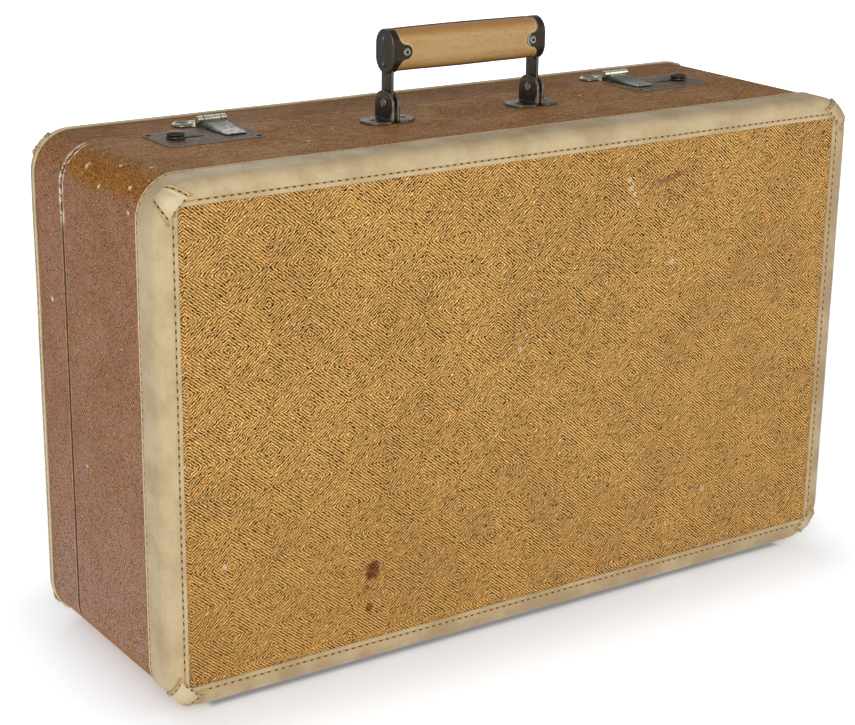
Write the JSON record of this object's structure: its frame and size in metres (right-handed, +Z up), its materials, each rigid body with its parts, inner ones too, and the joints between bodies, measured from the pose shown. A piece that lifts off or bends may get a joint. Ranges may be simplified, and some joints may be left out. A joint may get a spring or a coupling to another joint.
{
  "type": "upright hard-sided suitcase",
  "caption": "Old rigid suitcase standing on its hinged edge, cloth-covered with leathercloth binding, a folding handle and two hasp latches on top; lid, handle, hasps and latch slides move.",
  "frame": {"origin": "on the ground under the centre of the closed case body", "axes": "+X along the case to the right seen from its deep side, +Y from the deep base towards the shallow lid, +Z up"},
  "size_m": [0.61, 0.2018, 0.4455],
  "materials": {
    "frame_wood": "bare softwood",
    "panel_board": "pressed fibre board",
    "side_covering": "coated cloth, worn satin",
    "face_covering": "coated cloth with a woven diamond figure",
    "binding": "smooth coated leathercloth, soiled",
    "corner_patch": "smooth coated leathercloth, soiled",
    "lining_paper": "plain lining paper",
    "tongue_rail": "stained plywood",
    "foot_metal": "dull plated",
    "grip_core": "bare wood",
    "grip_leather": "worn tan leather",
    "dark_steel": "dark oxidised, satin",
    "latch_steel": "dark oxidised, rubbed",
    "knob_steel": "dark oxidised",
    "nickel": "dulled nickel plate",
    "hinge_steel": "dull plated",
    "bright_rivet": "bright ring",
    "dark_rivet": "dark oxidised"
  },
  "bodies": {
    "base": {"base_binding": "binding", "base_corner_patches": "corner_patch", "base_face_cover": "face_covering", "base_feet": "foot_metal", "base_frame": "frame_wood", "base_lining": "lining_paper", "base_panel": "panel_board", "base_side_cover": "side_covering", "base_tongue_rail": "tongue_rail", "bracket_ear_left_inner": "dark_steel", "bracket_ear_left_outer": "dark_steel", "bracket_ear_right_inner": "dark_steel", "bracket_ear_right_outer": "dark_steel", "handle_bracket_rivets": "dark_rivet", "handle_pivot_pins": "dark_rivet", "hinge_base_leaf_left": "hinge_steel", "hinge_base_leaf_right": "hinge_steel", "hinge_base_nails": "hinge_steel", "hinge_pins": "hinge_steel", "latch_case_left": "latch_steel", "latch_case_right": "latch_steel", "latch_plate_left": "latch_steel", "latch_plate_nails": "dark_rivet", "latch_plate_right": "latch_steel"},
    "lid": {"hasp_pins": "nickel", "hasp_plate_left": "nickel", "hasp_plate_nails": "nickel", "hasp_plate_right": "nickel", "hinge_lid_leaf_left": "hinge_steel", "hinge_lid_leaf_right": "hinge_steel", "hinge_lid_nails": "hinge_steel", "lid_binding": "binding", "lid_corner_patches": "corner_patch", "lid_face_cover": "face_covering", "lid_feet": "foot_metal", "lid_frame": "frame_wood", "lid_lining": "lining_paper", "lid_panel": "panel_board", "lid_side_cover": "side_covering"},
    "handle": {"handle_core": "grip_core", "handle_end_cap_left": "dark_steel", "handle_end_cap_right": "dark_steel", "handle_grip": "grip_leather", "handle_link_left": "dark_steel", "handle_link_right": "dark_steel", "handle_link_rivets": "dark_rivet", "handle_tongue_rivets": "bright_rivet"},
    "hasp_left": {"hasp_left": "nickel"},
    "hasp_right": {"hasp_right": "nickel"},
    "latch_slide_left": {"latch_slide_left": "knob_steel"},
    "latch_slide_right": {"latch_slide_right": "knob_steel"}
  },
  "joints": [
    {"name": "lid_hinge", "type": "hinge", "parent": "base", "child": "lid", "pos_m": [0, 0.045, 0.0039], "axis": [-1, 0, 0], "range_deg": [0, 105]},
    {"name": "handle_pivot", "type": "hinge", "parent": "base", "child": "handle", "pos_m": [0, 0, 0.3918], "axis": [-1, 0, 0], "range_deg": [-90, 90]},
    {"name": "hasp_left_hinge", "type": "hinge", "parent": "lid", "child": "hasp_left", "pos_m": [-0.185, 0.047, 0.3838], "axis": [-1, 0, 0], "range_deg": [0, 120]},
    {"name": "hasp_right_hinge", "type": "hinge", "parent": "lid", "child": "hasp_right", "pos_m": [0.185, 0.047, 0.3838], "axis": [-1, 0, 0], "range_deg": [0, 120]},
    {"name": "latch_slide_left_travel", "type": "slide", "parent": "base", "child": "latch_slide_left", "axis": [1, 0, 0], "range_m": [0, 0.02]},
    {"name": "latch_slide_right_travel", "type": "slide", "parent": "base", "child": "latch_slide_right", "axis": [-1, 0, 0], "range_m": [0, 0.02]}
  ]
}
